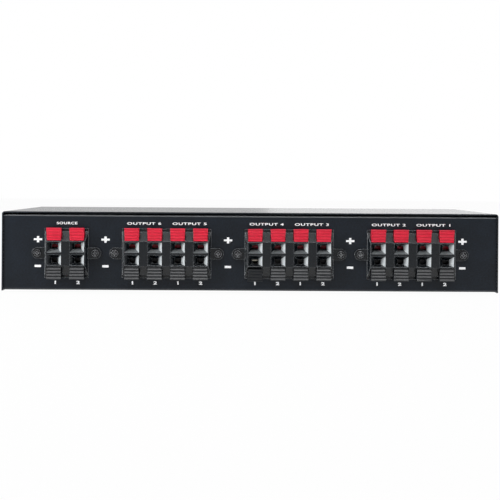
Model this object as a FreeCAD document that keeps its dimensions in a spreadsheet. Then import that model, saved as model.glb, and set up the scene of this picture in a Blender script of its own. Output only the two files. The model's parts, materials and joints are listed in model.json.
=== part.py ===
import FreeCAD, Part
import os
import sys
import Sketcher

# A low steel case with push terminals along one long face and push buttons on the other.
# The frame: X runs along the long face, -Y is the terminal side, +Z is up, floor at z = 0.
# Inside a terminal block, y is measured from the outer face of the panel and z from the
# block's own middle line, so one set of sizes serves the upper and the lower row.

os.makedirs("parts", exist_ok=True)
doc = FreeCAD.newDocument("selector")
sheet = doc.addObject("Spreadsheet::Sheet", "Sizes")

SIZES = [
    # case
    ("case_width", 350.0), ("case_depth", 140.0), ("case_top", 58.2), ("case_low", 2.5),
    ("sheet_thick", 1.0), ("cover_radius", 2.0), ("base_low", 3.0), ("tray_top", 56.2),
    ("tray_gap", 0.2), ("panel_inset", 1.0), ("flange_depth", 9.0), ("front_thick", 2.5),
    ("lip_height", 14.0), ("lip_half", 60.0), ("bend_radius", 1.4),
    ("foot_half", 6.0), ("foot_taper", 0.8), ("foot_x", 140.0), ("foot_y", 33.0),
    # terminal blocks, placed along the panel
    ("pitch", 16.0), ("block_mid", 29.1), ("ear_reach", 4.3), ("block_gap", 13.7),
    ("first_screw", -149.75), ("few", 2), ("many", 4),
    # terminal housing
    ("face_out", 7.0), ("face_half_high", 8.7), ("base_half_high", 16.5),
    ("face_side", 2.2), ("base_side", 0.6), ("rim_thick", 1.2), ("rim_half_high", 17.4),
    ("ear_thick", 2.0), ("ear_radius", 4.0), ("screw_clear", 1.6),
    ("inner_side", 1.6), ("inner_half_high", 15.9), ("inner_deep", 8.0), ("window_clear", 0.2),
    ("slot_width", 10.6), ("slot_low", 8.7), ("slot_knee", -4.6), ("slot_back_low", 7.9),
    ("wall_back", -0.2), ("middle_half", 0.7), ("slot_high", 14.9),
    ("mouth_width", 10.0), ("mouth_low", 0.85), ("mouth_high", 8.1),
    ("throat_y", -2.4), ("throat_width", 4.6), ("throat_low", 3.2), ("throat_high", 7.0),
    ("hole_half", 2.2), ("hole_flat", 3.4), ("hole_side", 5.4), ("hole_end", 6.8),
    ("pivot_y", -3.0), ("pivot_z", 10.6), ("heel_radius", 1.2), ("heel_clear", 0.05),
    ("heel_start", 215.0), ("heel_end", 335.0), ("seat_left", 0.95), ("seat_right", 0.8),
    # lever
    ("lever_width", 10.4), ("lever_root", 9.3), ("lever_low_y", -6.9), ("lever_low_z", 9.15),
    ("lever_high_y", -8.1), ("lever_high_z", 17.5), ("lever_tip_y", -7.3), ("lever_tip_z", 18.0),
    ("lever_under_y", -4.6), ("lever_under_z", 17.9), ("lever_neck_y", -3.4),
    ("lever_neck_z", 14.6), ("lever_back_y", 1.2), ("lever_back_z", 14.3),
    ("arm_back", 5.0), ("arm_front", 3.2), ("arm_high", 11.8), ("arm_low", 3.7),
    ("arm_root_z", 10.3), ("keel_y", -4.6), ("keel_z", 9.3), ("gate_width", 4.4),
    ("gate_low", 6.0), ("gate_high", 9.4), ("rib_count", 4), ("rib_depth", 0.45),
    ("press_angle", 20.0),
    # contacts and the plate that closes the back of a block
    ("leaf_width", 5.0), ("leaf_thick", 0.4), ("leaf_front", 0.6), ("leaf_low", 0.8),
    ("tag_z", 5.4), ("tag_end", 12.6), ("tag_room", 0.2), ("plate_thick", 1.2),
    # boards
    ("board_thick", 1.6), ("rear_board_half", 152.0), ("rear_board_half_high", 15.0),
    ("front_board_half", 126.0), ("front_board_back", 0.0), ("front_board_front", 60.0),
    ("front_board_low", 22.5), ("post_radius", 3.2), ("post_x", 116.0), ("post_back", 8.0),
    ("post_front", 52.0),
    ("cable_width", 40.0), ("cable_thick", 0.8), ("cable_x", 44.0), ("cable_low", 17.4),
    ("cable_rest", 6.0), ("cable_run", 12.0),
    ("load_width", 22.0), ("load_deep", 9.5), ("load_high", 9.0), ("load_y", 14.0),
    # push buttons and their switches
    ("button_step", 35.0), ("button_width", 14.0), ("button_high", 8.0), ("button_reach", 7.2),
    ("button_clear", 0.3), ("button_round", 1.0), ("collar_width", 17.0), ("collar_high", 11.0),
    ("collar_front", 66.2), ("collar_back", 64.6), ("stem_size", 4.0), ("stem_end", 50.0),
    ("switch_width", 12.0), ("switch_high", 10.0), ("switch_back", 34.0), ("switch_front", 58.0),
    ("switch_bore", 4.4), ("switch_bore_end", 45.5), ("press_travel", 3.5),
    # screws of the terminal blocks
    ("screw_head", 2.4), ("screw_head_high", 1.6), ("screw_shank", 1.5), ("screw_length", 8.0),
    ("cross_long", 2.8), ("cross_wide", 0.7), ("cross_deep", 0.9),
]
for row, (word, value) in enumerate(SIZES, start=1):
    sheet.set("A%d" % row, word)
    sheet.set("B%d" % row, str(value))
    sheet.setAlias("B%d" % row, word)
doc.recompute()

# Longer measures that are used again and again, written as expressions of the sheet.
PANEL_Y = "(-Sizes.case_depth / 2 + Sizes.panel_inset)"
FRONT_Y = "(Sizes.case_depth / 2 - Sizes.front_thick)"
TRAY_X = "(Sizes.case_width / 2 - Sizes.sheet_thick - Sizes.tray_gap)"
BOARD_TOP = "(Sizes.front_board_low + Sizes.board_thick)"


def value(text):
    """The number that an expression of the sheet stands for."""
    return float(sheet.evalExpression(str(text).replace("Sizes.", "")))


def plane(body, role):
    return next(f for f in body.Origin.OriginFeatures if f.Role == role)


def new_body(name):
    body = doc.addObject("PartDesign::Body", name)
    body.Label = name
    return body


def sketch(body, name, role, offset=None):
    made = body.newObject("Sketcher::SketchObject", name)
    made.AttachmentSupport = [(plane(body, role), "")]
    made.MapMode = "FlatFace"
    if offset is not None:
        made.setExpression(".AttachmentOffset.Base.z", offset)
    return made


def bind(made, kind, geometry, point, text, start):
    index = made.addConstraint(Sketcher.Constraint(kind, -1, 1, geometry, point, start))
    made.setExpression("Constraints[%d]" % index, text)


def outline(made, points, arc=None):
    """A closed outline whose corners are all held by the sheet.

    Its sides are straight. With arc, a (number, centre x, centre y, radius) of which the number
    names a side, that side is the clockwise arc about the centre.
    """
    first = made.GeometryCount
    spots = [FreeCAD.Vector(value(a), value(b), 0) for a, b in points]
    count = len(spots)
    ends = []
    for i in range(count):
        start, stop = spots[i], spots[(i + 1) % count]
        if arc is not None and arc[0] == i:
            middle = FreeCAD.Vector(value(arc[1]), value(arc[2]), 0)
            circle = Part.Circle(middle, FreeCAD.Vector(0, 0, 1), value(arc[3]))
            turn = [circle.parameter(spot) for spot in (stop, start)]
            made.addGeometry(Part.ArcOfCircle(circle, *turn), False)
            ends.append((2, 1))
        else:
            made.addGeometry(Part.LineSegment(start, stop), False)
            ends.append((1, 2))
    for i in range(count):
        after = (i + 1) % count
        made.addConstraint(Sketcher.Constraint("Coincident", first + i, ends[i][1],
                                               first + after, ends[after][0]))
    for i, (a, b) in enumerate(points):
        bind(made, "DistanceX", first + i, ends[i][0], a, spots[i].x)
        bind(made, "DistanceY", first + i, ends[i][0], b, spots[i].y)
    if arc is not None:
        held = made.addConstraint(Sketcher.Constraint("Radius", first + arc[0], value(arc[3])))
        made.setExpression("Constraints[%d]" % held, arc[3])


def box_outline(made, low_x, high_x, low_y, high_y):
    outline(made, [(low_x, low_y), (high_x, low_y), (high_x, high_y), (low_x, high_y)])


def disc(made, x, y, radius):
    spot = FreeCAD.Vector(value(x), value(y), 0)
    index = made.addGeometry(Part.Circle(spot, FreeCAD.Vector(0, 0, 1), value(radius)), False)
    bind(made, "DistanceX", index, 3, x, spot.x)
    bind(made, "DistanceY", index, 3, y, spot.y)
    held = made.addConstraint(Sketcher.Constraint("Radius", index, value(radius)))
    made.setExpression("Constraints[%d]" % held, radius)


def rounded(made, centre_x, centre_y, radius, flat_x, flat_y):
    """A straight-sided shape with one half-round end.

    One of flat_x and flat_y is given: the line where the straight sides end.
    """
    cx, cy, r = value(centre_x), value(centre_y), value(radius)
    up = FreeCAD.Vector(0, 0, 1)
    circle = Part.Circle(FreeCAD.Vector(cx, cy, 0), up, r)
    first = made.GeometryCount
    if flat_y is not None:
        end = value(flat_y)
        above = cy > end
        turn = (0, 3.141592653589793) if above else (3.141592653589793, 6.283185307179586)
        made.addGeometry(Part.ArcOfCircle(circle, *turn), False)
        side = 1 if above else -1
        a, b = FreeCAD.Vector(cx + side * r, cy, 0), FreeCAD.Vector(cx - side * r, cy, 0)
        c, d = FreeCAD.Vector(b.x, end, 0), FreeCAD.Vector(a.x, end, 0)
        lengthwise, across, straight = "DistanceY", "Horizontal", "Vertical"
        limit, middle = flat_y, centre_y
    else:
        end = value(flat_x)
        right = cx > end
        turn = (-1.5707963267948966, 1.5707963267948966)
        if not right:
            turn = (1.5707963267948966, 4.71238898038469)
        made.addGeometry(Part.ArcOfCircle(circle, *turn), False)
        side = 1 if right else -1
        a, b = FreeCAD.Vector(cx, cy - side * r, 0), FreeCAD.Vector(cx, cy + side * r, 0)
        c, d = FreeCAD.Vector(end, b.y, 0), FreeCAD.Vector(end, a.y, 0)
        lengthwise, across, straight = "DistanceX", "Vertical", "Horizontal"
        limit, middle = flat_x, centre_x
    made.addGeometry(Part.LineSegment(b, c), False)
    made.addGeometry(Part.LineSegment(c, d), False)
    made.addGeometry(Part.LineSegment(d, a), False)
    made.addConstraint(Sketcher.Constraint("Tangent", first, 2, first + 1, 1))
    made.addConstraint(Sketcher.Constraint("Coincident", first + 1, 2, first + 2, 1))
    made.addConstraint(Sketcher.Constraint("Coincident", first + 2, 2, first + 3, 1))
    made.addConstraint(Sketcher.Constraint("Tangent", first + 3, 2, first, 1))
    made.addConstraint(Sketcher.Constraint(across, first + 2))
    made.addConstraint(Sketcher.Constraint(straight, first + 1))
    bind(made, "DistanceX", first, 3, centre_x, cx)
    bind(made, "DistanceY", first, 3, centre_y, cy)
    held = made.addConstraint(Sketcher.Constraint("Radius", first, r))
    made.setExpression("Constraints[%d]" % held, radius)
    bind(made, lengthwise, first + 2, 1, limit, end)


def solid(body, kind, name, profile, length, both=False, back=False):
    """A Pad or a Pocket of one sketch."""
    made = body.newObject("PartDesign::" + kind, name)
    made.Profile = profile
    made.setExpression("Length", length)
    made.SideType = "Symmetric" if both else "One side"
    made.Reversed = back
    profile.Visibility = False
    body.Tip = made
    return made


def edges(shape, test):
    """Names of the edges whose middle point and direction pass the test."""
    names = []
    for number, edge in enumerate(shape.Edges, start=1):
        middle = edge.valueAt((edge.FirstParameter + edge.LastParameter) / 2)
        if test(edge, middle):
            names.append("Edge%d" % number)
    return names


def straight_along(edge, axis):
    if edge.Curve.TypeId != "Part::GeomLine":
        return False
    return abs(abs(edge.Curve.Direction.dot(axis)) - 1) < 1e-6


def dress(body, kind, name, base, names, size, word="Radius"):
    """A Fillet or a Chamfer of named edges."""
    made = body.newObject("PartDesign::" + kind, name)
    made.Base = (base, names)
    made.setExpression("Size" if kind == "Chamfer" else word, size)
    body.Tip = made
    return made


def place(thing, x, y, z):
    for axis, text in (("x", x), ("y", y), ("z", z)):
        thing.setExpression(".Placement.Base." + axis, text)


def group(name, master, places):
    """One node of equal pieces: a compound of links to one master, each in its own place."""
    links = []
    for number, (x, y, z, turn) in enumerate(places, start=1):
        link = doc.addObject("App::Link", "%s_%d" % (name, number))
        link.LinkedObject = master
        link.LinkTransform = False
        if turn is not None:
            link.Placement = FreeCAD.Placement(FreeCAD.Vector(), turn)
        place(link, x, y, z)
        links.append(link)
    made = doc.addObject("Part::Compound", name)
    made.Label = name
    made.Links = links
    return made


X = FreeCAD.Vector(1, 0, 0)
Y = FreeCAD.Vector(0, 1, 0)
Z = FreeCAD.Vector(0, 0, 1)
UPSIDE_DOWN = FreeCAD.Rotation(Y, 180)

# Blocks: name, number of columns, and the names of its columns from left to right.
BLOCKS = [
    ("input", "Sizes.few", ["in_left", "in_right"]),
    ("upper_pair", "Sizes.many", ["six_left", "six_right", "five_left", "five_right"]),
    ("middle_pair", "Sizes.many", ["four_left", "four_right", "three_left", "three_right"]),
    ("lower_pair", "Sizes.many", ["two_left", "two_right", "one_left", "one_right"]),
]


def block_middle(index):
    """The middle of a block along the panel, from the run of screws before it."""
    text = "Sizes.first_screw"
    for before in range(index):
        text += " + Sizes.pitch * %s + 2 * Sizes.ear_reach + Sizes.block_gap" % BLOCKS[before][1]
    return "(%s + Sizes.pitch * %s / 2 + Sizes.ear_reach)" % (text, BLOCKS[index][1])


MIDDLES = [block_middle(i) for i in range(len(BLOCKS))]
nodes = []


def keep(thing):
    nodes.append(thing)
    return thing


# chassis: one folded sheet with the rear panel, the base and the front wall
def make_chassis():
    body = new_body("chassis")
    section = sketch(body, "chassis_section", "YZ_Plane")
    t = "Sizes.sheet_thick"
    low, top, run = "Sizes.base_low", "Sizes.tray_top", "Sizes.flange_depth"
    outline(section, [
        (PANEL_Y, low), (FRONT_Y, low), (FRONT_Y, top), (FRONT_Y + " - " + run, top),
        (FRONT_Y + " - " + run, top + " - " + t), (FRONT_Y + " - " + t, top + " - " + t),
        (FRONT_Y + " - " + t, low + " + " + t), (PANEL_Y + " + " + t, low + " + " + t),
        (PANEL_Y + " + " + t, top + " - " + t), (PANEL_Y + " + " + run, top + " - " + t),
        (PANEL_Y + " + " + run, top), (PANEL_Y, top),
    ])
    tray = solid(body, "Pad", "chassis_tray", section, "2 * " + TRAY_X, both=True)
    doc.recompute()
    outer = edges(tray.Shape, lambda e, m: straight_along(e, X)
                  and min(abs(m.y - value(PANEL_Y)), abs(m.y - value(FRONT_Y))) < 1e-4
                  and min(abs(m.z - value(low)), abs(m.z - value(top))) < 1e-4)
    dress(body, "Fillet", "chassis_bends", tray, outer, "Sizes.bend_radius")
    lips = sketch(body, "chassis_lip_shape", "XY_Plane", "Sizes.base_low")
    for side in ("-", ""):
        edge_x = side + TRAY_X
        inner = "%s(%s - %s)" % (side, TRAY_X, t)
        ends = [edge_x, inner] if side else [inner, edge_x]
        box_outline(lips, ends[0], ends[1], "-Sizes.lip_half", "Sizes.lip_half")
    solid(body, "Pad", "chassis_lips", lips, "Sizes.lip_height")
    windows = sketch(body, "chassis_windows_shape", "XZ_Plane", "-" + PANEL_Y)
    room = "Sizes.window_clear"
    for index, (name, columns, labels) in enumerate(BLOCKS):
        half = "(Sizes.pitch * %s / 2 - Sizes.inner_side + %s)" % (columns, room)
        high = "(Sizes.inner_half_high + %s)" % room
        box_outline(windows, MIDDLES[index] + " - " + half, MIDDLES[index] + " + " + half,
                    "Sizes.block_mid - " + high, "Sizes.block_mid + " + high)
        for side in ("-", "+"):
            far = "(Sizes.pitch * %s / 2 + Sizes.ear_reach)" % columns
            screw_hole(windows, "%s %s %s" % (MIDDLES[index], side, far), "Sizes.block_mid")
    solid(body, "Pocket", "chassis_windows", windows, "2 * " + t)
    slots = sketch(body, "chassis_button_shape", "XZ_Plane", "-(%s - 2 * %s)" % (FRONT_Y, t))
    button_windows(slots)
    solid(body, "Pocket", "chassis_button_windows", slots, "4 * " + t)
    return keep(body)


def screw_hole(made, x, z):
    """A square hole for the shank of a thread-forming screw."""
    half = "Sizes.screw_clear"
    box_outline(made, "%s - %s" % (x, half), "%s + %s" % (x, half),
                "%s - %s" % (z, half), "%s + %s" % (z, half))


def button_places():
    """The middle of each push button along the front, the seventh being the protection one."""
    return ["(Sizes.button_step * %d)" % step for step in (3, 2, 1, 0, -1, -2, -3)]


def button_windows(made):
    wide = "(Sizes.button_width / 2 + Sizes.button_clear)"
    high = "(Sizes.button_high / 2 + Sizes.button_clear)"
    for x in button_places():
        box_outline(made, x + " - " + wide, x + " + " + wide,
                    "Sizes.block_mid - " + high, "Sizes.block_mid + " + high)


def make_feet():
    """Square stick-on feet, narrower at the floor."""
    foot = doc.addObject("Part::Wedge", "foot_master")
    wide, slim = "Sizes.foot_half", "(Sizes.foot_half - Sizes.foot_taper)"
    for word, text in (("Xmin", "-" + slim), ("Xmax", slim), ("Zmin", "-" + slim),
                       ("Zmax", slim), ("X2min", "-" + wide), ("X2max", wide),
                       ("Z2min", "-" + wide), ("Z2max", wide), ("Ymin", "0"),
                       ("Ymax", "Sizes.base_low")):
        setattr(foot, word, value(text))
        foot.setExpression(word, text)
    spots = [(x, y, "0", FreeCAD.Rotation(X, 90)) for x in ("-Sizes.foot_x", "Sizes.foot_x")
             for y in ("-Sizes.foot_y", "Sizes.foot_y")]
    return keep(group("feet", foot, spots))


def make_cover():
    """The top cover: one sheet folded down at both ends."""
    body = new_body("top_cover")
    back = "-Sizes.case_depth / 2"
    section = sketch(body, "cover_section", "XZ_Plane", "-(%s)" % back)
    half, t = "Sizes.case_width / 2", "Sizes.sheet_thick"
    outline(section, [
        ("-" + half, "Sizes.case_low"), ("-%s + %s" % (half, t), "Sizes.case_low"),
        ("-%s + %s" % (half, t), "Sizes.case_top - " + t),
        ("%s - %s" % (half, t), "Sizes.case_top - " + t), ("%s - %s" % (half, t), "Sizes.case_low"),
        (half, "Sizes.case_low"), (half, "Sizes.case_top"), ("-" + half, "Sizes.case_top"),
    ])
    shell = solid(body, "Pad", "cover_sheet", section,
                  "Sizes.case_depth - Sizes.front_thick", back=True)
    doc.recompute()
    top = value("Sizes.case_top")
    outer = edges(shell.Shape, lambda e, m: straight_along(e, Y) and abs(m.z - top) < 1e-4)
    dress(body, "Fillet", "cover_bends", shell, outer, "Sizes.cover_radius")
    return keep(body)


def make_front():
    """The front panel: a plate with one window for each push button."""
    body = new_body("front_panel")
    plate = sketch(body, "front_plate_shape", "XZ_Plane", "-Sizes.case_depth / 2")
    half = "Sizes.case_width / 2"
    box_outline(plate, "-" + half, half, "Sizes.case_low", "Sizes.case_top")
    slab = solid(body, "Pad", "front_plate", plate, "Sizes.front_thick")
    doc.recompute()
    corners = edges(slab.Shape, lambda e, m: straight_along(e, Y))
    dress(body, "Chamfer", "front_corners", slab, corners, "0.6 * Sizes.cover_radius")
    windows = sketch(body, "front_windows_shape", "XZ_Plane", "-(%s)" % FRONT_Y)
    button_windows(windows)
    solid(body, "Pocket", "front_windows", windows, "2 * Sizes.front_thick")
    return keep(body)


def make_housing(index):
    """A terminal block: a low four-sided pyramid with a slot and a wire mouth per lever."""
    word, columns, labels = BLOCKS[index]
    name = word + "_housing"
    body = new_body(name)
    half = "(Sizes.pitch * %s / 2)" % columns
    base_half = "(%s - Sizes.base_side)" % half
    face_half = "(%s - Sizes.face_side)" % half
    inner_half = "(%s - Sizes.inner_side)" % half
    ear_x = "(%s + Sizes.ear_reach)" % half
    first_x = "-(Sizes.pitch * (%s - 1) / 2)" % columns
    side = sketch(body, name + "_side", "YZ_Plane")
    outline(side, [("0", "-Sizes.base_half_high"), ("-Sizes.face_out", "-Sizes.face_half_high"),
                   ("-Sizes.face_out", "Sizes.face_half_high"), ("0", "Sizes.base_half_high")])
    solid(body, "Pad", name + "_peak", side, "2 * " + base_half, both=True)
    ends = sketch(body, name + "_end_slopes_shape", "XY_Plane")
    for sign in ("", "-"):
        ring = [(base_half, "0"), (face_half, "-Sizes.face_out"),
                (face_half, "-Sizes.face_out - 1"), (base_half + " + 1", "-Sizes.face_out - 1"),
                (base_half + " + 1", "0")]
        outline(ends, [(sign + "(%s)" % a, b) for a, b in ring])
    solid(body, "Pocket", name + "_end_slopes", ends, "4 * Sizes.base_half_high", both=True)
    for word, half_wide, half_high, thick, back in (
            ("rim", base_half, "Sizes.rim_half_high", "Sizes.rim_thick", False),
            ("inner", inner_half, "Sizes.inner_half_high", "Sizes.inner_deep", True)):
        made = sketch(body, "%s_%s_shape" % (name, word), "XZ_Plane")
        box_outline(made, "-" + half_wide, half_wide, "-" + half_high, half_high)
        solid(body, "Pad", "%s_%s" % (name, word), made, thick, back=back)
    ears = sketch(body, name + "_ear_shape", "XZ_Plane")
    rounded(ears, "-" + ear_x, "0", "Sizes.ear_radius", "-(%s - 1)" % base_half, None)
    rounded(ears, ear_x, "0", "Sizes.ear_radius", "%s - 1" % base_half, None)
    solid(body, "Pad", name + "_ears", ears, "Sizes.ear_thick")
    holes = sketch(body, name + "_ear_holes_shape", "XZ_Plane", "2 * Sizes.ear_thick")
    screw_hole(holes, "-" + ear_x, "0")
    screw_hole(holes, ear_x, "0")
    solid(body, "Pocket", name + "_ear_holes", holes, "3 * Sizes.ear_thick")
    features = [lever_slots(body, name, first_x)]
    for sign, word in (("", "high"), ("-", "low")):
        features.append(wire_mouth(body, "%s_mouth_%s" % (name, word), first_x, sign))
    bore = sketch(body, name + "_wire_hole_shape", "XZ_Plane", "-Sizes.throat_y + 0.5")
    for sign in ("", "-"):
        wide, slim = "Sizes.hole_half", "Sizes.hole_half / 2"
        ring = [("-" + wide, "Sizes.hole_flat"), (wide, "Sizes.hole_flat"),
                (wide, "Sizes.hole_side"), (slim, "Sizes.hole_end"), ("-" + slim, "Sizes.hole_end"),
                ("-" + wide, "Sizes.hole_side")]
        outline(bore, [("%s + %s" % (first_x, a), sign + b) for a, b in ring])
    features.append(solid(body, "Pocket", name + "_wire_holes", bore,
                          "Sizes.wall_back - Sizes.throat_y + 1"))
    repeat(body, name + "_columns", features, columns)
    place(body, MIDDLES[index], PANEL_Y, "Sizes.block_mid")
    return keep(body)


def lever_slots(body, name, x):
    """The two slots of one column, each with a seat for the heel of its lever."""
    slot = sketch(body, name + "_slot_shape", "YZ_Plane", x)
    out_y, away = "-Sizes.face_out - 2", "Sizes.rim_half_high + 2"
    seat = "((Sizes.heel_radius + Sizes.heel_clear) * sqrt(2))"
    floor = "(Sizes.pivot_z - %s)" % seat
    ring = [(out_y, "Sizes.slot_low"), ("Sizes.slot_knee", "Sizes.slot_low"),
            ("Sizes.pivot_y - Sizes.seat_left", floor + " + Sizes.seat_left"),
            ("Sizes.pivot_y", floor),
            ("Sizes.pivot_y + Sizes.seat_right", floor + " + Sizes.seat_right"),
            ("Sizes.wall_back", "Sizes.slot_back_low"), ("Sizes.wall_back", "Sizes.middle_half"),
            ("Sizes.inner_deep + 1", "Sizes.middle_half"),
            ("Sizes.inner_deep + 1", "Sizes.slot_high"),
            ("-Sizes.rim_thick", "Sizes.slot_high"), ("-Sizes.rim_thick", away), (out_y, away)]
    for sign in ("", "-"):
        outline(slot, [(a, sign + "(%s)" % b) for a, b in ring])
    return solid(body, "Pocket", name + "_slots", slot, "Sizes.slot_width", both=True)


def wire_mouth(body, name, x, sign):
    """The four-sided funnel that leads a wire to its hole."""
    made = body.newObject("PartDesign::SubtractiveWedge", name)
    wide, slim = "Sizes.mouth_width / 2", "Sizes.throat_width / 2"
    lows = ["Sizes.mouth_low", "Sizes.throat_low"]
    highs = ["Sizes.mouth_high", "Sizes.throat_high"]
    if sign:
        lows, highs = [sign + high for high in highs], [sign + low for low in lows]
    for word, text in (("Xmin", "%s - %s" % (x, wide)), ("Xmax", "%s + %s" % (x, wide)),
                       ("X2min", "%s - %s" % (x, slim)), ("X2max", "%s + %s" % (x, slim)),
                       ("Ymin", "-Sizes.face_out"), ("Ymax", "Sizes.throat_y"),
                       ("Zmin", lows[0]), ("Zmax", highs[0]), ("Z2min", lows[1]),
                       ("Z2max", highs[1])):
        setattr(made, word, value(text))
        made.setExpression(word, text)
    body.Tip = made
    return made


def repeat(body, name, features, columns):
    """Repeat what one column has for each column of a block."""
    spread = body.newObject("PartDesign::LinearPattern", name)
    spread.Originals = features
    spread.Direction = (plane(body, "X_Axis"), [""])
    spread.setExpression("Length", "Sizes.pitch * (%s - 1)" % columns)
    spread.setExpression("Occurrences", columns)
    body.Tip = spread


def make_plate(index):
    """The plate that closes the back of a block, with a slot for each contact tag."""
    word, columns, labels = BLOCKS[index]
    name = word + "_back_plate"
    body = new_body(name)
    half = "(Sizes.pitch * %s / 2 - Sizes.inner_side)" % columns
    face = sketch(body, name + "_shape", "XZ_Plane", "-Sizes.inner_deep")
    box_outline(face, "-" + half, half, "-Sizes.inner_half_high", "Sizes.inner_half_high")
    solid(body, "Pad", name + "_sheet", face, "Sizes.plate_thick", back=True)
    cut = sketch(body, name + "_slot_shape", "XZ_Plane", "-Sizes.inner_deep + 1")
    first_x = "-(Sizes.pitch * (%s - 1) / 2)" % columns
    tag_slots(cut, first_x, "0")
    slots = solid(body, "Pocket", name + "_slots", cut, "Sizes.plate_thick + 2")
    repeat(body, name + "_columns", [slots], columns)
    place(body, MIDDLES[index], PANEL_Y, "Sizes.block_mid")
    return keep(body)


def tag_slots(made, x, z):
    """One slot above and one below the middle line z, for the tags of one column."""
    half = "(Sizes.leaf_width / 2 + Sizes.tag_room)"
    low = "(Sizes.tag_z - Sizes.leaf_thick - Sizes.tag_room)"
    high = "(Sizes.tag_z + Sizes.tag_room)"
    box_outline(made, "%s - %s" % (x, half), "%s + %s" % (x, half),
                "%s + %s" % (z, low), "%s + %s" % (z, high))
    box_outline(made, "%s - %s" % (x, half), "%s + %s" % (x, half),
                "%s - %s" % (z, high), "%s - %s" % (z, low))


def make_contact():
    """One contact: a leaf along the wire's way, an upright part and a tag out of the back."""
    body = new_body("contact_master")
    side = sketch(body, "contact_shape", "YZ_Plane")
    t = "Sizes.leaf_thick"
    back = "Sizes.inner_deep"
    outline(side, [
        ("Sizes.leaf_front", "Sizes.leaf_low"), (back, "Sizes.leaf_low"),
        (back, "Sizes.tag_z - " + t), ("Sizes.tag_end", "Sizes.tag_z - " + t),
        ("Sizes.tag_end", "Sizes.tag_z"), (back + " - " + t, "Sizes.tag_z"),
        (back + " - " + t, "Sizes.leaf_low + " + t), ("Sizes.leaf_front", "Sizes.leaf_low + " + t),
    ])
    solid(body, "Pad", "contact_strip", side, "Sizes.leaf_width", both=True)
    return body


def column_x(index, column):
    return "(%s + Sizes.pitch * (%d - (%s - 1) / 2))" % (MIDDLES[index], column, BLOCKS[index][1])


def make_lever(name, x, lower, pressed):
    """A ribbed finger lever that rocks on a round heel, with an arm behind the wire hole.

    Its own origin lies on the axis of its heel. A lower lever is the same piece turned over.
    """
    body = new_body(name)
    side = sketch(body, name + "_side", "YZ_Plane")
    face_y = "(Sizes.lever_low_y + (Sizes.lever_high_y - Sizes.lever_low_y) * %s)"
    face_z = "(Sizes.lever_low_z + (Sizes.lever_high_z - Sizes.lever_low_z) * %s)"
    ring = []
    steps = 2 * int(value("Sizes.rib_count"))
    for step in range(steps + 1):
        part = "(%d / (2 * Sizes.rib_count))" % step
        valley = " + Sizes.rib_depth" if step % 2 else ""
        ring.append((face_y % part + valley, face_z % part))
    ring += [("Sizes.lever_tip_y", "Sizes.lever_tip_z"),
             ("Sizes.lever_under_y", "Sizes.lever_under_z"),
             ("Sizes.lever_neck_y", "Sizes.lever_neck_z"),
             ("Sizes.lever_back_y", "Sizes.lever_back_z"), ("Sizes.arm_back", "Sizes.arm_high"),
             ("Sizes.arm_back", "Sizes.arm_low"), ("Sizes.arm_front", "Sizes.arm_low"),
             ("Sizes.arm_front", "Sizes.arm_root_z")]
    heel = len(ring)
    for angle in ("Sizes.heel_end", "Sizes.heel_start"):
        ring.append(("Sizes.pivot_y + Sizes.heel_radius * cos(%s * 1deg)" % angle,
                     "Sizes.pivot_z + Sizes.heel_radius * sin(%s * 1deg)" % angle))
    ring.append(("Sizes.keel_y", "Sizes.keel_z"))
    outline(side, [(a + " - Sizes.pivot_y", b + " - Sizes.pivot_z") for a, b in ring],
            arc=(heel, "0", "0", "Sizes.heel_radius"))
    solid(body, "Pad", name + "_form", side, "Sizes.lever_width", both=True)
    taper = sketch(body, name + "_taper_shape", "XZ_Plane")
    tip, root = "Sizes.lever_width / 2", "Sizes.lever_root / 2"
    top, low = "(Sizes.lever_tip_z - Sizes.pivot_z)", "(Sizes.arm_low - Sizes.pivot_z)"
    for sign in ("", "-"):
        ring = [(tip, top), (root, low), (tip + " + 1", low), (tip + " + 1", top)]
        outline(taper, [(sign + "(%s)" % a, b) for a, b in ring])
    solid(body, "Pocket", name + "_taper", taper, "8 * Sizes.heel_radius + Sizes.lever_width",
          both=True)
    gate = sketch(body, name + "_gate_shape", "XZ_Plane", "-(Sizes.arm_front - Sizes.pivot_y - 0.5)")
    box_outline(gate, "-Sizes.gate_width / 2", "Sizes.gate_width / 2",
                "Sizes.gate_low - Sizes.pivot_z", "Sizes.gate_high - Sizes.pivot_z")
    solid(body, "Pocket", name + "_gate", gate, "Sizes.arm_back - Sizes.arm_front + 1")
    turn = FreeCAD.Rotation(X, -value("Sizes.press_angle") if pressed else 0)
    if lower:
        turn = UPSIDE_DOWN.multiply(turn)
    body.Placement = FreeCAD.Placement(FreeCAD.Vector(), turn)
    place(body, x, PANEL_Y + " + Sizes.pivot_y",
          "Sizes.block_mid %s Sizes.pivot_z" % ("-" if lower else "+"))
    return keep(body)


def cross_recess(body, name, top):
    """A shallow cross in the head of a screw that stands along Z."""
    made = sketch(body, name + "_cross_shape", "XY_Plane", top)
    long, slim = "(Sizes.cross_long / 2)", "(Sizes.cross_wide / 2)"
    ring = [(long, "-" + slim), (long, slim), (slim, slim), (slim, long), ("-" + slim, long),
            ("-" + slim, slim), ("-" + long, slim), ("-" + long, "-" + slim),
            ("-" + slim, "-" + slim), ("-" + slim, "-" + long), (slim, "-" + long),
            (slim, "-" + slim)]
    outline(made, ring)
    solid(body, "Pocket", name + "_cross", made, "Sizes.cross_deep")


def make_screw(name, profile):
    """A screw along Z with the underside of its head at z = 0, turned from half a section."""
    body = new_body(name)
    half = sketch(body, name + "_half", "XZ_Plane")
    outline(half, profile)
    turned = body.newObject("PartDesign::Revolution", name + "_turned")
    turned.Profile = half
    turned.ReferenceAxis = (plane(body, "Z_Axis"), [""])
    turned.Angle = 360
    body.Tip = turned
    return body


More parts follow.
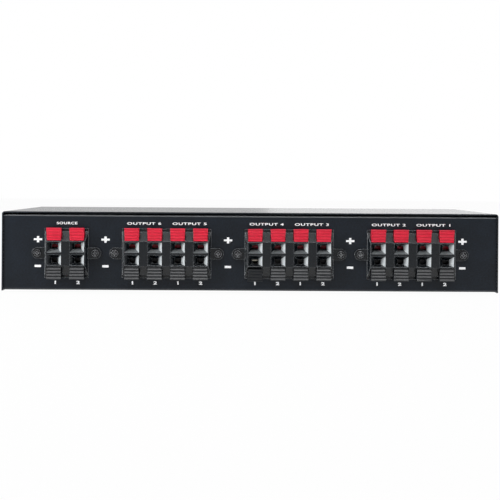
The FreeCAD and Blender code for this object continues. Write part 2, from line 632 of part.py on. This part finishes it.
def make_terminal_screws():
    half = [("0", "-Sizes.screw_length"), ("Sizes.screw_shank", "-Sizes.screw_length"),
            ("Sizes.screw_shank", "0"), ("Sizes.screw_head", "0"),
            ("Sizes.screw_head", "Sizes.screw_head_high"), ("0", "Sizes.screw_head_high")]
    screw = make_screw("screw_master", half)
    cross_recess(screw, "screw", "Sizes.screw_head_high")
    spots = []
    for index, (word, columns, labels) in enumerate(BLOCKS):
        for side in ("-", "+"):
            x = "%s %s (Sizes.pitch * %s / 2 + Sizes.ear_reach)" % (MIDDLES[index], side, columns)
            spots.append((x, PANEL_Y + " - Sizes.ear_thick", "Sizes.block_mid",
                          FreeCAD.Rotation(X, 90)))
    return keep(group("terminal_screws", screw, spots))


def make_rear_board():
    body = new_body("terminal_board")
    back = "(Sizes.inner_deep + Sizes.plate_thick)"
    face = sketch(body, "terminal_board_shape", "XZ_Plane", "-(%s + %s)" % (PANEL_Y, back))
    box_outline(face, "-Sizes.rear_board_half", "Sizes.rear_board_half",
                "Sizes.block_mid - Sizes.rear_board_half_high",
                "Sizes.block_mid + Sizes.rear_board_half_high")
    solid(body, "Pad", "terminal_board_sheet", face, "Sizes.board_thick", back=True)
    cut = sketch(body, "terminal_board_slot_shape", "XZ_Plane",
                 "-(%s + %s) + 1" % (PANEL_Y, back))
    for index, (word, columns, labels) in enumerate(BLOCKS):
        for column in range(len(labels)):
            tag_slots(cut, column_x(index, column), "Sizes.block_mid")
    solid(body, "Pocket", "terminal_board_slots", cut, "Sizes.board_thick + 2")
    return keep(body)


def post_places():
    return [(x, y) for x in ("-Sizes.post_x", "Sizes.post_x")
            for y in ("Sizes.post_back", "Sizes.post_front")]


def make_front_board():
    body = new_body("switch_board")
    face = sketch(body, "switch_board_shape", "XY_Plane", "Sizes.front_board_low")
    box_outline(face, "-Sizes.front_board_half", "Sizes.front_board_half",
                "Sizes.front_board_back", "Sizes.front_board_front")
    solid(body, "Pad", "switch_board_sheet", face, "Sizes.board_thick")
    return keep(body)


def make_posts():
    low = "(Sizes.base_low + Sizes.sheet_thick)"
    post = doc.addObject("Part::Prism", "post_master")
    post.Polygon = 6
    post.setExpression("Circumradius", "Sizes.post_radius")
    post.setExpression("Height", "Sizes.front_board_low - " + low)
    return keep(group("standoffs", post, [(x, y, low, None) for x, y in post_places()]))


def make_cables():
    body = new_body("cable_master")
    side = sketch(body, "cable_shape", "YZ_Plane")
    start = "(%s + Sizes.inner_deep + Sizes.plate_thick + Sizes.board_thick)" % PANEL_Y
    low, t, rest = "Sizes.cable_low", "Sizes.cable_thick", "Sizes.cable_rest"
    bend = start + " + Sizes.cable_run"
    top = BOARD_TOP
    outline(side, [
        (start, low), (bend, low), ("-" + rest, top), (rest, top), (rest, top + " + " + t),
        ("-%s - %s / 5" % (rest, t), top + " + " + t), (bend + " - %s / 5" % t, low + " + " + t),
        (start, low + " + " + t),
    ])
    solid(body, "Pad", "cable_strip", side, "Sizes.cable_width", both=True)
    return keep(group("ribbon_cables", body, [("-Sizes.cable_x", "0", "0", None),
                                               ("Sizes.cable_x", "0", "0", None)]))


def make_switches():
    body = new_body("switch_master")
    face = sketch(body, "switch_shape", "XZ_Plane", "-Sizes.switch_front")
    box_outline(face, "-Sizes.switch_width / 2", "Sizes.switch_width / 2", "0",
                "Sizes.switch_high")
    solid(body, "Pad", "switch_case", face, "Sizes.switch_front - Sizes.switch_back")
    bore = sketch(body, "switch_bore_shape", "XZ_Plane", "-Sizes.switch_bore_end")
    middle = "(Sizes.block_mid - %s)" % BOARD_TOP
    half = "Sizes.switch_bore / 2"
    box_outline(bore, "-" + half, half, middle + " - " + half, middle + " + " + half)
    solid(body, "Pocket", "switch_bore", bore,
          "Sizes.switch_front - Sizes.switch_bore_end + 1")
    spots = [(x, "0", BOARD_TOP, None) for x in button_places()]
    return keep(group("switch_bodies", body, spots))


def make_loads():
    brick = doc.addObject("Part::Box", "load_master")
    brick.setExpression("Length", "Sizes.load_width")
    brick.setExpression("Width", "Sizes.load_deep")
    brick.setExpression("Height", "Sizes.load_high")
    spots = [("Sizes.button_step * %s - Sizes.load_width / 2" % step, "Sizes.load_y",
              BOARD_TOP, None) for step in (2.5, 1.5, 0.5, -0.5, -1.5, -2.5)]
    return keep(group("load_resistors", brick, spots))


def make_button(number, x):
    name = "button_%s" % number
    body = new_body(name)
    face = "Sizes.case_depth / 2 + Sizes.button_reach"
    cap = sketch(body, name + "_cap_shape", "XZ_Plane", "-(%s)" % face)
    box_outline(cap, "-Sizes.button_width / 2", "Sizes.button_width / 2",
                "-Sizes.button_high / 2", "Sizes.button_high / 2")
    top = solid(body, "Pad", name + "_cap", cap, "%s - Sizes.collar_front" % face)
    doc.recompute()
    tip = value(face)
    rim = edges(top.Shape, lambda e, m: abs(m.y - tip) < 1e-4)
    dress(body, "Chamfer", name + "_rim", top, rim, "Sizes.button_round / 2")
    collar = sketch(body, name + "_collar_shape", "XZ_Plane", "-Sizes.collar_front")
    box_outline(collar, "-Sizes.collar_width / 2", "Sizes.collar_width / 2",
                "-Sizes.collar_high / 2", "Sizes.collar_high / 2")
    solid(body, "Pad", name + "_collar", collar, "Sizes.collar_front - Sizes.collar_back")
    stem = sketch(body, name + "_stem_shape", "XZ_Plane", "-Sizes.collar_back")
    box_outline(stem, "-Sizes.stem_size / 2", "Sizes.stem_size / 2", "-Sizes.stem_size / 2",
                "Sizes.stem_size / 2")
    solid(body, "Pad", name + "_stem", stem, "Sizes.collar_back - Sizes.stem_end")
    place(body, x, "0", "Sizes.block_mid")
    return keep(body)


make_chassis()
make_cover()
make_front()
make_feet()
contact = make_contact()
for index, (word, columns, labels) in enumerate(BLOCKS):
    make_housing(index)
    make_plate(index)
    spots = []
    for column, label in enumerate(labels):
        x = column_x(index, column)
        spots.append((x, PANEL_Y, "Sizes.block_mid", None))
        spots.append((x, PANEL_Y, "Sizes.block_mid", UPSIDE_DOWN))
        make_lever("lever_%s_plus" % label, x, False, False)
        make_lever("lever_%s_minus" % label, x, True, label == "four_left")
    keep(group(word + "_contacts", contact, spots))

make_terminal_screws()
make_rear_board()
make_front_board()
make_posts()
make_cables()
make_switches()
make_loads()
for number, x in zip(("one", "two", "three", "four", "five", "six", "protect"), button_places()):
    make_button(number, x)

doc.recompute()
faults = []
for thing in doc.Objects:
    if "Invalid" in thing.State or "Error" in thing.State:
        faults.append(thing.Name)
names = [thing.Label for thing in nodes]
if len(set(names)) != len(names):
    faults.append("two nodes share one name")
for thing in nodes:
    shape = thing.Shape
    if shape.isNull() or not shape.isValid() or not shape.Solids:
        faults.append(thing.Label)
if faults:
    print("FAULTS", faults)
    sys.exit(1)
for thing in nodes:
    thing.Shape.exportStep("parts/%s.step" % thing.Label)
print(len(nodes), "nodes written")
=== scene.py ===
"""Looks, legends, light and camera for the loudspeaker selector box.

Lengths are in millimetres and turned to metres where Blender needs them.
The terminal side faces -Y and the floor is z = 0, as in the frame.
"""

import json
import math

import bpy
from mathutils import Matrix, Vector

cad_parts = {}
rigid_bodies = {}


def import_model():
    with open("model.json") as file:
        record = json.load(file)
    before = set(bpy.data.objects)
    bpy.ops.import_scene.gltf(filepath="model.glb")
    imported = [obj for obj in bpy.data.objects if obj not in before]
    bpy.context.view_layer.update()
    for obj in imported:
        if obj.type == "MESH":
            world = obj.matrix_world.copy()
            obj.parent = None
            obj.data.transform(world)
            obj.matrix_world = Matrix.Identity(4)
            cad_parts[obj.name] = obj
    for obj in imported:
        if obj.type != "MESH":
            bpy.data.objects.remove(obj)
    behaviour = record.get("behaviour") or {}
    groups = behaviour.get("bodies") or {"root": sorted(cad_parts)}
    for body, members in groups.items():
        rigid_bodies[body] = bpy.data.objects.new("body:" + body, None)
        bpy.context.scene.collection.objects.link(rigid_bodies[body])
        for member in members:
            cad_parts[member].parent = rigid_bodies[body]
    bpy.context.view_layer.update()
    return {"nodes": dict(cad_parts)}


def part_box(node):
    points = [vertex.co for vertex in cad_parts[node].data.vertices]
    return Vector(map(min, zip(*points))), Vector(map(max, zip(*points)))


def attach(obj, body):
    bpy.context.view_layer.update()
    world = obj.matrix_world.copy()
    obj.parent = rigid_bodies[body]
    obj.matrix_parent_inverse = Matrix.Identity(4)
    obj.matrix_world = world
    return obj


MM = 0.001
WHITE = (1.0, 1.0, 1.0, 1.0)

# The printed legends. Rises and drops count from the middle of the terminal blocks.
BLOCKS = ("input", "upper_pair", "middle_pair", "lower_pair")
OUTPUTS = {"six": "6", "five": "5", "four": "4", "three": "3", "two": "2", "one": "1"}
TITLE_RISE, TITLE_HIGH, TITLE_BOLD = 20.9, 1.75, 0.02
SOURCE_WIDE, OUTPUT_WIDE = 14.5, 24.0
DIGIT_DROP, DIGIT_HIGH, DIGIT_BOLD, DIGIT_SPREAD = 20.9, 2.3, 0.05, 1.6
LETTER_SPACE = 1.12
PLUS_RISE, PLUS_WIDE, PLUS_HIGH, PLUS_BAR, PLUS_POST = 9.5, 5.9, 4.3, 1.35, 1.62
MINUS_DROP, MINUS_WIDE, MINUS_HIGH = 9.3, 4.5, 1.6
SCREW_INSET = 4.0
INK_THICK = 0.03

# How far the edges of the carried-over solids are rounded, by a mark in their names.
ROUNDED = {
    "_housing": 0.22, "_plus": 0.14, "_minus": 0.14, "terminal_screws": 0.1,
    "button_": 0.4, "front_panel": 0.35,
}
# Only edges that turn by more than this are rounded, once points this close are joined.
SHARP_ANGLE = math.radians(28)
SAME_POINT = 0.002

# Edges in the shading: how wide moulded ones look round, how fast pale edges show, as wear and
# as painted highlight, and the colour of the wear.
MOULD_ROUND = 0.45
EDGE_WEAR_AND_SHEEN_GAIN = 6.0
PALE_EDGE = (0.13, 0.14, 0.15)

# The camera that took the picture: a 75 mm lens, level, lowered by its shift.
PICTURE = 500.0
FOCAL_PIXELS = 1041.5
SENSOR = 36.0
CAMERA_AT = (-9.24, -803.9, 79.3)
CAMERA_YAW = -0.0115
CAMERA_ROLL = -0.0067
SHIFT_PIXELS = -67.2

# The room: how dark its side behind the camera is, and where that side begins.
DARK_FROM, DARK_RISE = 0.25, 2.2
ROOM_WHITE, ROOM_DARK, ROOM_LIGHT = 0.97, 0.008, 0.16
FLOOR_GLOW, FLOOR_REACH = 0.97, 4000.0

# Where the lamps aim: the middle of the terminal side, or the case behind it.
PANEL_MIDDLE = (0, -60, 28)
PANEL_TOP = (0, -70, 50)
COVER_RIGHT = (120, 0, 50)


# ---------------------------------------------------------------- shader maths


class Field:
    """A shader socket that takes part in Python sums."""

    def __init__(self, network, socket):
        self.network = network
        self.socket = socket

    def maths(self, operation, *others, clamp=False):
        return self.network.node("ShaderNodeMath", dict(enumerate([self, *others])),
                                 operation=operation, use_clamp=clamp)

    def __add__(self, other):
        return self.maths("ADD", other)

    __radd__ = __add__

    def __mul__(self, other):
        return self.maths("MULTIPLY", other)

    def __sub__(self, other):
        return self.maths("SUBTRACT", other)

    def __rsub__(self, other):
        return self.network.node("ShaderNodeMath", {0: other, 1: self}, operation="SUBTRACT")

    def above(self, limit):
        """1 where the value is over the limit, and 0 elsewhere."""
        return self.maths("GREATER_THAN", limit)

    def below(self, limit):
        """1 where the value is under the limit, and 0 elsewhere."""
        return self.maths("LESS_THAN", limit)

    def held(self):
        """The value kept between 0 and 1."""
        return self.maths("ADD", 0.0, clamp=True)


class Network:
    """The nodes of one material or of the world."""

    def __init__(self, tree):
        self.tree = tree

    def node(self, kind, inputs=None, output=0, **settings):
        """Adds a node: its settings first, then the values or links of its sockets."""
        made = self.tree.nodes.new(kind)
        for word, setting in settings.items():
            setattr(made, word, setting)
        for key, given in (inputs or {}).items():
            if isinstance(given, Field):
                self.tree.links.new(given.socket, made.inputs[key])
            else:
                made.inputs[key].default_value = given
        return Field(self, made.outputs[output])

    def part_of(self, vector, axis):
        """The X, Y or Z of a vector."""
        return self.node("ShaderNodeSeparateXYZ", {"Vector": vector}, axis)

    def ray(self, kind):
        """1 for light rays of this kind, and 0 for the others."""
        return self.node("ShaderNodeLightPath", output="Is %s Ray" % kind)


class Finish(Network):
    """One material: its nodes, and the sockets of its Principled shader."""

    def __init__(self, name, colour, roughness, metallic=0.0, **steady):
        self.material = bpy.data.materials.new(name)
        self.material.use_nodes = True
        super().__init__(self.material.node_tree)
        self.shader = self.tree.nodes["Principled BSDF"]
        self.shader.inputs["Base Color"].default_value = (*colour, 1.0)
        self.shader.inputs["Roughness"].default_value = roughness
        self.shader.inputs["Metallic"].default_value = metallic
        for word, number in steady.items():
            self.shader.inputs[word.replace("_", " ")].default_value = number

    def place(self):
        """Where on the object the point lies, in metres, moving with its own piece."""
        return self.node("ShaderNodeTexCoord", output="Object")

    def facing(self, axis):
        """How far the flat face looks along a world axis, from -1 to 1."""
        normal = self.node("ShaderNodeNewGeometry", output="True Normal")
        return self.part_of(normal, axis)

    def rounded(self, radius, samples):
        """The normal that the surface would have with its edges rounded."""
        return self.node("ShaderNodeBevel", {"Radius": radius * MM}, samples=samples)

    def speckle(self, size, detail=3.0, rough=0.5, stretch=(1.0, 1.0, 1.0)):
        """Noise whose grains are about size millimetres across."""
        spot = self.node("ShaderNodeMapping", {"Vector": self.place(), "Scale": stretch})
        return self.node(
            "ShaderNodeTexNoise",
            {"Vector": spot, "Scale": 1.0 / (size * MM), "Detail": detail, "Roughness": rough},
            noise_dimensions="3D")

    def edges(self, reach):
        """Bright on edges, where the rounded normal leaves the true one: as wear, and on
        housings and screws as painted highlight.
        """
        true_normal = self.node("ShaderNodeNewGeometry", output="Normal")
        along = self.node("ShaderNodeVectorMath",
                          {0: self.rounded(reach, samples=4), 1: true_normal},
                          output="Value", operation="DOT_PRODUCT")
        return ((1.0 - along) * EDGE_WEAR_AND_SHEEN_GAIN).held()

    def tint(self, amount, first, second):
        """A colour between two, by amount. Either is three numbers or another tint."""
        first, second = [colour if isinstance(colour, Field) else (*colour, 1.0)
                         for colour in (first, second)]
        return self.node("ShaderNodeMix", {"Factor": amount, 6: first, 7: second},
                         output=2, data_type="RGBA")

    def feed(self, word, field):
        """Links a varying value to one socket of the shader."""
        self.tree.links.new(field.socket, self.shader.inputs[word])

    def bump(self, height, strength, distance, rounding=0.0):
        """Feeds a height, in steps of distance millimetres, to the shader's normal."""
        inputs = {"Height": height, "Strength": strength, "Distance": distance * MM}
        if rounding:
            inputs["Normal"] = self.rounded(rounding, samples=6)
        self.feed("Normal", self.node("ShaderNodeBump", inputs))


def shade(colour, factor):
    """The colour made darker or paler, up to white."""
    return tuple(min(channel * factor, 1.0) for channel in colour)


# ---------------------------------------------------------------- the finishes


def powder_coat(name="powder_coat", gloss=0.36, depth=0.12, sheen=0.3, bends=False):
    """Fine textured black powder coat with a cold cast.

    With bends, a painted highlight makes the coat paler where the sheet of the panel is bent.
    """
    base = (0.0062, 0.0105, 0.0175)
    made = Finish(name, base, gloss, Specular_IOR_Level=sheen)
    grain = made.speckle(1.15, rough=0.65)
    cloud = made.speckle(18.0, detail=2.0)
    mottled = (grain * 0.7 + cloud * 0.3 - 0.25).held()
    paint = made.tint(mottled, shade(base, 0.2), shade(base, 3.0))
    if bends:
        # A painted highlight: the coat is made paler along the bends, where light catches them.
        paint = made.tint(painted_bend_highlight(made), paint, (0.19, 0.2, 0.21))
    made.feed("Base Color", paint)
    made.feed("Roughness", (gloss - 0.1 + grain * 0.24).held())
    made.bump(grain, strength=0.5, distance=depth)
    return made.material


def painted_bend_highlight(made):
    """The painted highlight on the bends: how much paler the coat is made on the upper bend of
    the panel, and on the lower one.
    """
    tilt = 0.12
    rise = made.facing("Z")
    outward = made.facing("Y") * -1.0
    upper = rise.above(tilt) * outward.above(0.5)
    lower = (rise * -1.0).above(tilt) * outward.above(0.6)
    return upper * 0.7 + lower * 0.25


def front_paint():
    """Satin black of the button side, brushed lightly along its length."""
    base = (0.018, 0.018, 0.02)
    made = Finish("front_paint", base, 0.36)
    brushed = made.speckle(0.25, stretch=(0.02, 1.0, 1.0))
    made.feed("Base Color", made.tint(brushed, shade(base, 0.8), shade(base, 1.5)))
    made.feed("Roughness", 0.3 + brushed * 0.14)
    made.bump(brushed, strength=0.12, distance=0.02)
    return made.material


def moulded(name, base, roughness, worn, edge_wear_and_sheen_colour=PALE_EDGE, reach=0.32, relief=0.12,
            funnels=False):
    """Moulded plastic: faint grain, slow drift of colour and paler edges, as wear and as
    painted highlight.

    worn says how much of the pale edge colour shows, and reach how wide. relief is the grain's
    height.
    With funnels, the walls of the wire funnels that face left and up are made paler: a painted
    highlight.
    """
    made = Finish(name, base, roughness, Specular_IOR_Level=0.36)
    grain = made.speckle(0.22, detail=2.0)
    drift = made.speckle(6.0, detail=2.0)
    body = made.tint(drift, shade(base, 0.88), shade(base, 1.12))
    # A painted highlight on the funnel walls, not a paler plastic.
    if funnels:
        body = painted_funnel_highlight(made, body)
    edge_wear_and_sheen = made.edges(reach) * worn
    # Pale edges: wear on most parts, a painted highlight on the terminal housings.
    made.feed("Base Color", made.tint(edge_wear_and_sheen, body, edge_wear_and_sheen_colour))
    made.feed("Roughness", (roughness - 0.05 + drift * 0.1 + edge_wear_and_sheen * 0.08).held())
    made.bump(grain, relief, distance=0.02, rounding=MOULD_ROUND)
    return made.material


def painted_funnel_highlight(made, body):
    """Painted highlight: the funnel walls that face left and up are made paler, as if lit from
    the left and above.
    """
    outward = made.facing("Y") * -1.0
    slanted = outward.above(0.4) * outward.below(0.6)
    bright = (made.facing("X") * -1.0).above(0.6) * slanted
    paler = made.facing("Z").above(0.7) * slanted
    light = (bright * 0.95 + paler * 0.2).held()
    return made.tint(light, body, (0.75, 0.8, 0.82))


def dark_screw():
    """Blackened steel, with a painted highlight on the rim and in the cross."""
    base = (0.02, 0.02, 0.022)
    made = Finish("dark_screw", base, 0.38, metallic=0.85)
    # The pale colour on the edges is a painted highlight on the rim and the cross.
    edge_wear_and_sheen = made.edges(0.45) * 0.8
    made.feed("Base Color", made.tint(edge_wear_and_sheen, base, (0.7, 0.72, 0.75)))
    fine = made.speckle(0.3)
    made.feed("Roughness", 0.3 + fine * 0.16)
    made.bump(fine, strength=0.06, distance=0.02, rounding=0.12)
    return made.material


def bright_metal(name, base, roughness=0.28):
    """Plated metal with fine streaks of polish."""
    made = Finish(name, base, roughness, metallic=1.0)
    fine = made.speckle(0.4)
    made.feed("Base Color", made.tint(fine, shade(base, 0.85), shade(base, 1.08)))
    made.feed("Roughness", roughness - 0.06 + fine * 0.14)
    return made.material


def circuit_green():
    """Green lacquer over a weave that shows faintly."""
    base = (0.012, 0.1, 0.04)
    made = Finish("circuit_green", base, 0.3, Coat_Weight=0.3)
    weave = made.speckle(0.8, detail=1.0, stretch=(1.0, 1.0, 3.0))
    made.feed("Base Color", made.tint(weave, shade(base, 0.7), shade(base, 1.4)))
    made.bump(weave, strength=0.1, distance=0.03)
    return made.material


def ribbon_grey():
    """Flat cable: grey insulation, ribbed along its run, with painted shade in its grooves."""
    wire_pitch = 1.27
    base = (0.3, 0.3, 0.31)
    made = Finish("ribbon_grey", base, 0.45)
    across = made.part_of(made.place(), "X")
    wave = (across * (2 * math.pi / (wire_pitch * MM))).maths("SINE") * 0.5 + 0.5
    # The colour follows the bump: painted shade in the grooves between the wires and a painted
    # highlight on the ridges.
    made.feed("Base Color", made.tint(wave, shade(base, 0.7), shade(base, 1.2)))
    made.bump(wave, strength=0.5, distance=0.2)
    return made.material


def fired_ceramic():
    """Chalky white of the resistor bodies, with open pores."""
    base = (0.72, 0.7, 0.64)
    made = Finish("fired_ceramic", base, 0.8)
    pores = made.speckle(0.7, detail=4.0)
    made.feed("Base Color", made.tint(pores, shade(base, 0.8), shade(base, 1.1)))
    made.bump(pores, strength=0.3, distance=0.1)
    return made.material


def soft_rubber():
    """Black rubber of the feet, dusty in places."""
    base = (0.02, 0.02, 0.021)
    made = Finish("soft_rubber", base, 0.75)
    dust = made.speckle(1.4, detail=4.0)
    made.feed("Base Color", made.tint(dust, base, shade(base, 2.4)))
    made.feed("Roughness", 0.66 + dust * 0.2)
    made.bump(dust, strength=0.15, distance=0.05)
    return made.material


def legend_ink():
    """White screen-printed ink, a little uneven, with a faint painted glow."""
    base = (0.8, 0.81, 0.82)
    # The emission is a painted glow: the ink gives off light though it is no lamp.
    made = Finish("legend_ink", base, 0.5, Emission_Strength=0.45)
    patchy = made.speckle(0.35)
    made.feed("Base Color", made.tint(patchy, shade(base, 0.86), shade(base, 1.08)))
    made.feed("Roughness", 0.42 + patchy * 0.16)
    made.feed("Emission Color", made.tint(patchy, shade(base, 0.9), shade(base, 1.1)))
    return made.material


def finishes():
    """Which finish each node of the frame wears, by a mark in its name."""
    board = circuit_green()
    return {
        "chassis": powder_coat(bends=True),
        "top_cover": powder_coat("cover_coat", gloss=0.24, depth=0.015, sheen=0.5),
        "front_panel": front_paint(),
        "feet": soft_rubber(),
        "terminal_screws": dark_screw(),
        "terminal_board": board,
        "switch_board": board,
        "standoffs": bright_metal("post_nickel", (0.62, 0.58, 0.5)),
        "ribbon_cables": ribbon_grey(),
        "switch_bodies": moulded("switch_black", (0.03, 0.03, 0.032), roughness=0.4, worn=0.2),
        "load_resistors": fired_ceramic(),
        "button_": moulded("button_black", (0.02, 0.02, 0.022), roughness=0.28, worn=0.4),
        # The housings' pale edges are a painted highlight, strongest on the rims of the screw
        # ears.
        "_housing": moulded("block_black", (0.005, 0.0072, 0.01), roughness=0.27, worn=0.8,
                            edge_wear_and_sheen_colour=(0.3, 0.32, 0.34), reach=0.5, funnels=True),
        "_back_plate": moulded("plate_black", (0.012, 0.0135, 0.016), roughness=0.36, worn=0.4),
        "_contacts": bright_metal("tinned_brass", (0.7, 0.66, 0.56)),
        "_plus": moulded("lever_red", (0.74, 0.01, 0.042), roughness=0.36, worn=0.3,
                         edge_wear_and_sheen_colour=(0.9, 0.1, 0.15), relief=0.04),
        "_minus": moulded("lever_black", (0.006, 0.0075, 0.01), roughness=0.4, worn=0.3,
                          relief=0.04),
    }


def dress(nodes):
    """Gives every carried-over node its finish, and softens the moulded edges."""
    table = finishes()
    for name, thing in nodes.items():
        worn = [material for mark, material in table.items() if mark in name]
        thing.data.materials.clear()
        thing.data.materials.append(worn[0])
        for mark, radius in ROUNDED.items():
            if mark in name:
                soften(thing, radius)


def soften(thing, radius):
    """Joins the split corners of an imported solid and rounds its edges."""
    weld = thing.modifiers.new("weld", "WELD")
    weld.merge_threshold = SAME_POINT * MM
    bevel = thing.modifiers.new("round", "BEVEL")
    bevel.width = radius * MM
    bevel.segments = 2
    bevel.limit_method = "ANGLE"
    bevel.angle_limit = SHARP_ANGLE
    bevel.use_clamp_overlap = True
    bevel.harden_normals = True


# ---------------------------------------------------------------- the legends


def added(name, data):
    """A new object of the scene."""
    thing = bpy.data.objects.new(name, data)
    bpy.context.scene.collection.objects.link(thing)
    return thing


def middle(node, axis):
    """The middle of a node's box along x or z, in millimetres."""
    return sum(getattr(corner, axis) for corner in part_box(node)) / 2 / MM


class Printer:
    """Prints legends in one ink on the face of the panel."""

    def __init__(self, ink, face):
        self.ink = ink
        self.depth = face - INK_THICK * MM / 2

    def words(self, text, name, x, z, high, bold, wide=None, spread=1.0):
        """A line of print centred on (x, z), at a cap height and a width.

        Without a width, the letters are stretched along the line by spread.
        """
        curve = bpy.data.curves.new(name, "FONT")
        curve.body = text
        curve.align_x = curve.align_y = "CENTER"
        curve.size = 1.0
        curve.offset = bold
        curve.space_character = LETTER_SPACE
        piece = added(name, curve)
        bpy.context.view_layer.update()
        rise = high * MM / piece.dimensions.y
        run = wide * MM / piece.dimensions.x if wide else rise * spread
        curve.extrude = INK_THICK * MM / 2
        piece.scale = (run, rise, 1.0)
        piece.rotation_euler = (math.pi / 2, 0.0, 0.0)
        self.settle(piece, x, z)

    def sign(self, name, x, z, corners):
        """A flat sign with these corners about (x, z)."""
        mesh = bpy.data.meshes.new(name)
        mesh.from_pydata([(a * MM, 0.0, b * MM) for a, b in corners], [],
                         [tuple(range(len(corners)))])
        mesh.update()
        piece = added(name, mesh)
        thick = piece.modifiers.new("ink", "SOLIDIFY")
        thick.thickness = INK_THICK * MM
        thick.offset = 0.0
        self.settle(piece, x, z)

    def settle(self, piece, x, z):
        """Puts a legend in its place and lets it move with the case."""
        piece.location = (x * MM, self.depth, z * MM)
        piece.data.materials.append(self.ink)
        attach(piece, "case")


def minus_corners():
    """One flat bar, counter-clockwise."""
    a, b = MINUS_WIDE / 2, MINUS_HIGH / 2
    return [(-a, -b), (a, -b), (a, b), (-a, b)]


def plus_corners():
    """A lying bar with a post across it, as one outline, counter-clockwise."""
    a, b = PLUS_WIDE / 2, PLUS_HIGH / 2
    p, q = PLUS_BAR / 2, PLUS_POST / 2
    return [(-a, -p), (-q, -p), (-q, -b), (q, -b), (q, -p), (a, -p),
            (a, p), (q, p), (q, b), (-q, b), (-q, p), (-a, p)]


def sign_places():
    """Over the outermost screws, and midway between the screws of two blocks."""
    screws = []
    for block in BLOCKS:
        low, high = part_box(block + "_housing")
        screws.append((low.x / MM + SCREW_INSET, high.x / MM - SCREW_INSET))
    between = [(before[1] + after[0]) / 2 for before, after in zip(screws, screws[1:])]
    return [screws[0][0], *between, screws[-1][1]]


def print_legends(printer):
    """Titles over each pair of columns, signs between the blocks, numbers under the columns."""
    level = middle("input_housing", "z")
    printer.words("SOURCE", "legend_source", middle("input_housing", "x"), level + TITLE_RISE,
                  TITLE_HIGH, TITLE_BOLD, wide=SOURCE_WIDE)
    for word, digit in OUTPUTS.items():
        left = middle("lever_%s_left_plus" % word, "x")
        right = middle("lever_%s_right_plus" % word, "x")
        printer.words("OUTPUT " + digit, "legend_output_" + word, (left + right) / 2,
                      level + TITLE_RISE, TITLE_HIGH, TITLE_BOLD, wide=OUTPUT_WIDE)
    for word in ("in", *OUTPUTS):
        for side, digit in (("left", "1"), ("right", "2")):
            x = middle("lever_%s_%s_plus" % (word, side), "x")
            printer.words(digit, "legend_channel_%s_%s" % (word, side), x,
                          level - DIGIT_DROP, DIGIT_HIGH, DIGIT_BOLD, spread=DIGIT_SPREAD)
    for number, x in enumerate(sign_places()):
        printer.sign("legend_plus_%d" % number, x, level + PLUS_RISE, plus_corners())
        printer.sign("legend_minus_%d" % number, x, level - MINUS_DROP, minus_corners())


# ---------------------------------------------------------------- floor, light, camera


def white_floor():
    """A white floor that keeps the shadow and clips to the background's white."""
    reach = FLOOR_REACH * MM
    mesh = bpy.data.meshes.new("floor")
    mesh.from_pydata([(-reach, -reach, 0), (reach, -reach, 0), (reach, reach, 0),
                      (-reach, reach, 0)], [], [(0, 1, 2, 3)])
    floor = added("floor", mesh)
    made = Finish("floor_white", (0.8, 0.8, 0.8), 0.9)
    made.shader.inputs["Emission Color"].default_value = WHITE
    share = (made.ray("Camera") + made.ray("Glossy")).held() * FLOOR_GLOW
    plain = Field(made, made.shader.outputs[0])
    glow = made.node("ShaderNodeEmission", {"Color": WHITE, "Strength": 1.0})
    mix = made.node("ShaderNodeMixShader", {0: share, 1: plain, 2: glow})
    output = made.tree.nodes["Material Output"]
    made.tree.links.new(mix.socket, output.inputs["Surface"])
    mesh.materials.append(made.material)


def surroundings():
    """White to the camera. Reflections see a white room with a dark side behind the camera."""
    world = bpy.data.worlds.new("studio")
    bpy.context.scene.world = world
    world.use_nodes = True
    made = Network(world.node_tree)
    background = made.tree.nodes["Background"]
    background.inputs["Color"].default_value = WHITE
    seen, mirrored = made.ray("Camera"), made.ray("Glossy")
    way = made.node("ShaderNodeTexCoord", output="Generated")
    toward = made.part_of(way, "Y") * -1.0
    dark_side = ((toward - DARK_FROM) * DARK_RISE).held()
    room = (1.0 - dark_side) * ROOM_WHITE + dark_side * ROOM_DARK
    level = seen + (1.0 - seen) * (mirrored * room + (1.0 - mirrored) * ROOM_LIGHT)
    made.tree.links.new(level.held().socket, background.inputs["Strength"])


def lamp(name, place, aim, size, power, sheen_only=False):
    """An area lamp. With sheen_only it shows in reflections and lights nothing else."""
    data = bpy.data.lights.new(name, "AREA")
    data.shape = "RECTANGLE"
    data.size, data.size_y = size[0] * MM, size[1] * MM
    data.energy = power
    thing = added(name, data)
    thing.location = [c * MM for c in place]
    thing.visible_diffuse = not sheen_only
    toward = [(a - p) * MM for a, p in zip(aim, place)]
    thing.rotation_euler = Vector(toward).to_track_quat("-Z", "Y").to_euler()


def lights():
    """Soft lamps at the left, above and at the right, and two that only give sheen."""
    lamp("key_left", (-800, -420, 320), PANEL_MIDDLE, (380, 380), power=5.0)
    lamp("over", (0, -520, 760), PANEL_MIDDLE, (900, 260), power=3.6)
    lamp("softbox", (-60, -560, 800), PANEL_TOP, (1400, 560), power=9.0, sheen_only=True)
    lamp("low_right", (900, -330, 160), PANEL_MIDDLE, (360, 260), power=1.5)
    lamp("window", (720, 1600, 260), COVER_RIGHT, (1400, 420), power=1.2, sheen_only=True)


def camera():
    """The photograph's camera, before the terminal side."""
    data = bpy.data.cameras.new("camera")
    data.sensor_width = SENSOR
    data.lens = FOCAL_PIXELS / PICTURE * SENSOR
    data.shift_y = SHIFT_PIXELS / PICTURE
    data.clip_start, data.clip_end = 0.01, 50.0
    thing = added("camera", data)
    thing.location = [c * MM for c in CAMERA_AT]
    thing.rotation_euler = (math.pi / 2, CAMERA_ROLL, CAMERA_YAW)
    bpy.context.scene.camera = thing


bpy.ops.object.select_all(action="SELECT")
bpy.ops.object.delete()
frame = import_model()
printer = Printer(legend_ink(), face=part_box("chassis")[0].y)
dress(frame["nodes"])
print_legends(printer)
white_floor()
surroundings()
lights()
camera()
bpy.context.scene.view_settings.view_transform = "Standard"
